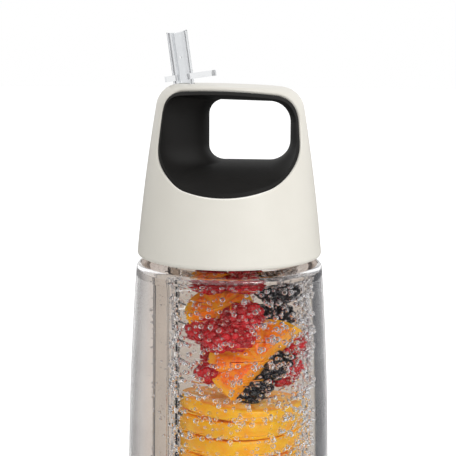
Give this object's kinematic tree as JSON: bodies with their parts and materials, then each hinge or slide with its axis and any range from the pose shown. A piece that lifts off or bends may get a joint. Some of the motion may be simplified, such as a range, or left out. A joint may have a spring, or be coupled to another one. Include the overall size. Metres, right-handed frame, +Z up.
{
  "type": "fruit infuser water bottle",
  "caption": "Clear water bottle with a screw lid, a hand opening, a pull-up straw spout and a slotted infuser basket for fruit.",
  "frame": {"origin": "centre of the standing face, on the bottle's axis", "axes": "+Z up the bottle's axis, -Y towards the viewer's side, -X towards the spout"},
  "size_m": [0.0848, 0.0848, 0.2422],
  "materials": {
    "clear_body": "clear, polished",
    "cream_plastic": "satin cream",
    "black_soft": "matt black",
    "cap_plastic": "moulded, matt",
    "silicone": "translucent silicone",
    "clear_spout": "clear, glossy",
    "clear_basket": "clear, glossy"
  },
  "bodies": {
    "bottle": {"bottle_body": "clear_body"},
    "gasket": {"lid_gasket": "silicone"},
    "lid": {"lid_shell": "cream_plastic", "handle_liner_front": "black_soft", "handle_liner_rear": "black_soft", "inner_cap": "cap_plastic", "infuser_oring": "silicone", "straw": "clear_spout", "straw_grommet": "silicone", "vent_valve": "silicone", "riser_tube": "clear_spout", "riser_seal": "silicone", "spout_guide": "cap_plastic", "spout_retainer": "cap_plastic"},
    "spout": {"spout": "clear_spout", "spout_oring_upper": "silicone", "spout_oring_lower": "silicone"},
    "infuser": {"infuser_basket": "clear_basket"},
    "base_cap": {"infuser_base_cap": "clear_basket"}
  },
  "joints": [
    {"name": "lid_lift", "type": "slide", "parent": "bottle", "child": "gasket", "axis": [0, 0, 1], "range_m": [0, 0.158]},
    {"name": "lid_turn", "type": "hinge", "parent": "gasket", "child": "lid", "pos_m": [0, 0, 0.167], "axis": [0, 0, 1], "range_deg": [0, 360]},
    {"name": "spout_pull", "type": "slide", "parent": "lid", "child": "spout", "axis": [-0.1392, 0, 0.9903], "range_m": [-0.0009, 0]},
    {"name": "infuser_twist", "type": "hinge", "parent": "lid", "child": "infuser", "pos_m": [0.00355, 0, 0.158], "axis": [0, 0, 1], "range_deg": [0, 90]},
    {"name": "base_cap_pull", "type": "slide", "parent": "infuser", "child": "base_cap", "axis": [0, 0, 1], "range_m": [-0.012, 0]}
  ]
}
